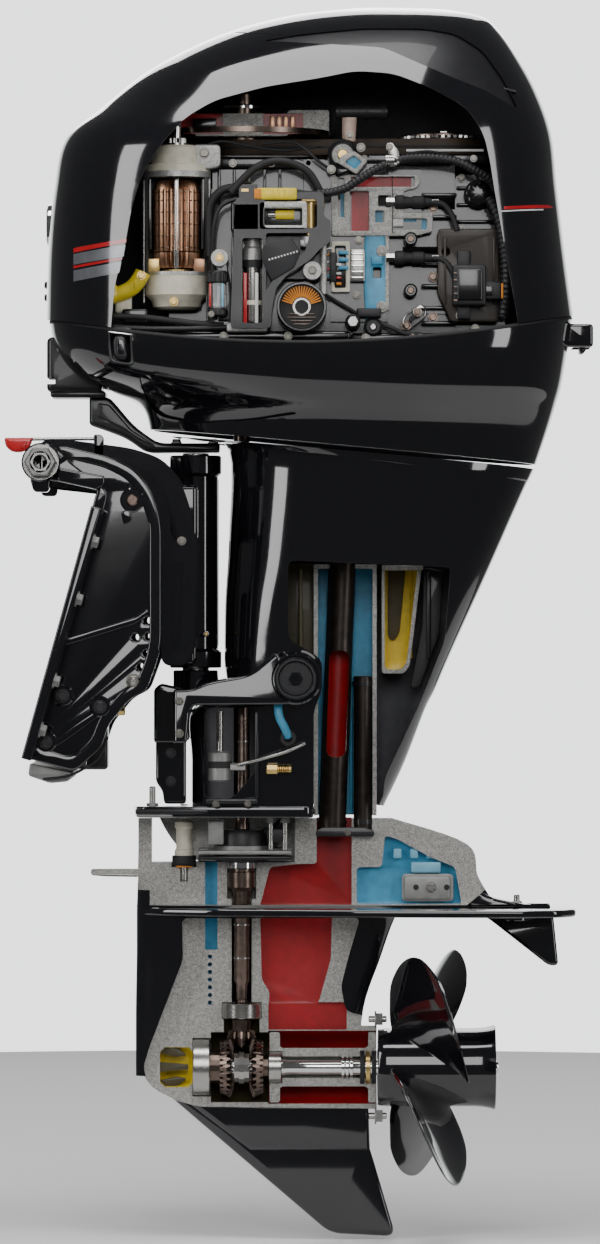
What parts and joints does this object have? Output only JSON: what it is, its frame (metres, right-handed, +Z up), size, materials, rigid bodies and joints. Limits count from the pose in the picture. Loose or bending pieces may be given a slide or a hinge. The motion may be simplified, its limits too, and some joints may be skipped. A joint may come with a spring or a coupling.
{
  "type": "outboard motor",
  "caption": "Cutaway outboard motor with cowl, tilting and steering mount, geared lower leg and four-bladed propeller; its port side is cut open.",
  "frame": {"origin": "centre of the transom's top aft edge, where the clamp brackets sit, on the centre plane", "axes": "+X points aft, +Z up, and -Y to port, the cut-open side"},
  "size_m": [0.7003, 0.376, 1.473],
  "materials": {
    "black_paint": "gloss",
    "black_casting": "satin",
    "steel": "satin",
    "dark_steel": "satin",
    "aluminium": "satin",
    "zinc": "matte",
    "rubber": "matte",
    "black_plastic": "matte",
    "copper": "satin",
    "nylon": "matte",
    "red_metal": "gloss"
  },
  "bodies": {
    "clamp": {"clamp_bracket_port": "black_paint", "clamp_bracket_starboard": "black_paint", "tilt_tube": "steel", "trim_pump_unit": "black_casting", "clamp_anode": "zinc"},
    "tilt_cylinder": {"tilt_cylinder_barrel": "black_casting"},
    "tilt_ram": {"tilt_ram_rod": "steel"},
    "swivel": {"swivel_bracket": "black_paint"},
    "tilt_lock": {"tilt_lock_lever": "red_metal"},
    "motor": {"swivel_pin": "steel", "steering_arm": "black_casting", "lower_yoke": "black_paint", "lower_mount_port": "rubber", "lower_mount_starboard": "rubber", "driveshaft_housing": "black_paint", "exhaust_housing": "aluminium", "exhaust_tube": "dark_steel", "water_tube": "dark_steel", "oil_sump": "aluminium", "lower_cowl": "black_paint", "crankcase": "black_casting", "cylinder_block": "black_casting", "cylinder_head": "black_casting", "valve_cover": "black_casting", "timing_belt": "rubber", "starter_housing": "aluminium", "intake_and_vapour_tank": "aluminium", "fuel_pump": "aluminium", "oil_filter": "black_plastic", "thermostat_housing": "black_casting", "coil_bracket": "black_casting", "ignition_coil": "black_plastic", "relay_block": "black_plastic", "gear_housing": "black_paint", "side_anode": "zinc", "water_pump_housing": "black_plastic", "pinion_bearing": "steel", "forward_gear_bearing": "steel", "reverse_gear_bearing": "steel", "bearing_carrier": "aluminium"},
    "crank": {"crankshaft": "dark_steel", "flywheel": "black_casting", "drive_shaft": "dark_steel", "pinion_gear": "dark_steel", "pump_impeller": "rubber"},
    "camshaft": {"cam_sprocket": "dark_steel"},
    "starter_rotor": {"starter_armature": "copper"},
    "starter_drive": {"starter_pinion": "steel"},
    "cowl": {"top_cowl": "black_paint"},
    "rear_latch": {"rear_latch_lever": "black_plastic"},
    "side_latch": {"side_latch_button": "black_plastic"},
    "throttle": {"throttle_lever": "black_plastic"},
    "shifter": {"shift_shaft": "nylon"},
    "forward_drive": {"forward_gear": "dark_steel"},
    "reverse_drive": {"reverse_gear": "dark_steel"},
    "prop": {"prop_shaft": "steel", "propeller": "black_paint", "prop_nut": "steel"},
    "dog": {"clutch_dog": "steel"},
    "trim": {"trim_tab": "zinc"}
  },
  "joints": [
    {"name": "tilt", "type": "hinge", "parent": "clamp", "child": "swivel", "pos_m": [-0.065, 0, 0.032], "axis": [0, -1, 0], "range_deg": [-4, 66]},
    {"name": "tilt_cylinder_pivot", "type": "hinge", "parent": "clamp", "child": "tilt_cylinder", "pos_m": [-0.04, 0, -0.292], "axis": [0, -1, 0], "range_deg": [-1, 8]},
    {"name": "tilt_ram_slide", "type": "slide", "parent": "tilt_cylinder", "child": "tilt_ram", "axis": [0.2811, 0, 0.9597], "range_m": [-0.01, 0.13]},
    {"name": "tilt_lock", "type": "hinge", "parent": "swivel", "child": "tilt_lock", "pos_m": [0.002, 0, 0.061], "axis": [0, -1, 0], "range_deg": [-45, 0]},
    {"name": "steer", "type": "hinge", "parent": "swivel", "child": "motor", "pos_m": [0.115, 0, 0], "axis": [0, 0, 1], "range_deg": [-30, 30]},
    {"name": "crank_spin", "type": "hinge", "parent": "motor", "child": "crank", "pos_m": [0.17, 0, 0], "axis": [0, 0, 1], "continuous": true},
    {"name": "forward_gear_spin", "type": "hinge", "parent": "motor", "child": "forward_drive", "pos_m": [0.17, 0, -0.69], "axis": [1, 0, 0], "continuous": true},
    {"name": "reverse_gear_spin", "type": "hinge", "parent": "motor", "child": "reverse_drive", "pos_m": [0.17, 0, -0.69], "axis": [1, 0, 0], "continuous": true},
    {"name": "cam_spin", "type": "hinge", "parent": "motor", "child": "camshaft", "pos_m": [0.412, 0, 0], "axis": [0, 0, 1], "continuous": true},
    {"name": "prop_spin", "type": "hinge", "parent": "motor", "child": "prop", "pos_m": [0.17, 0, -0.69], "axis": [1, 0, 0], "continuous": true},
    {"name": "shift_turn", "type": "hinge", "parent": "motor", "child": "shifter", "pos_m": [0.101, 0, 0], "axis": [0, 0, 1], "range_deg": [-20, 20]},
    {"name": "dog_slide", "type": "slide", "parent": "prop", "child": "dog", "axis": [1, 0, 0], "range_m": [-0.0042, 0.0042]},
    {"name": "starter_spin", "type": "hinge", "parent": "motor", "child": "starter_rotor", "pos_m": [0.094, -0.095, 0], "axis": [0, 0, 1], "continuous": true},
    {"name": "starter_drive_slide", "type": "slide", "parent": "starter_rotor", "child": "starter_drive", "axis": [0, 0, 1], "range_m": [0, 0.018]},
    {"name": "cowl_lift", "type": "slide", "parent": "motor", "child": "cowl", "axis": [0, 0, 1], "range_m": [0, 0.36]},
    {"name": "rear_latch_turn", "type": "hinge", "parent": "motor", "child": "rear_latch", "pos_m": [0.578, 0, 0.182], "axis": [0, -1, 0], "range_deg": [0, 70]},
    {"name": "side_latch_push", "type": "slide", "parent": "motor", "child": "side_latch", "axis": [0, 1, 0], "range_m": [0, 0.004], "stiffness_N_per_m": 600},
    {"name": "throttle_turn", "type": "hinge", "parent": "motor", "child": "throttle", "pos_m": [0.377, 0, 0.211], "axis": [0, -1, 0], "range_deg": [-8, 25]},
    {"name": "trim_tab_turn", "type": "hinge", "parent": "motor", "child": "trim", "pos_m": [0.5, 0, 0], "axis": [0, 0, 1], "range_deg": [-15, 15]}
  ],
  "couplings": [
    {"joint": "tilt_cylinder_pivot", "follows": "tilt", "ratio": 0.102},
    {"joint": "tilt_ram_slide", "follows": "tilt", "m_per_rad": 0.105},
    {"joint": "forward_gear_spin", "follows": "crank_spin", "ratio": 0.42857},
    {"joint": "reverse_gear_spin", "follows": "crank_spin", "ratio": -0.42857},
    {"joint": "cam_spin", "follows": "crank_spin", "ratio": 0.5},
    {"joint": "dog_slide", "follows": "shift_turn", "m_per_rad": 0.01146}
  ]
}
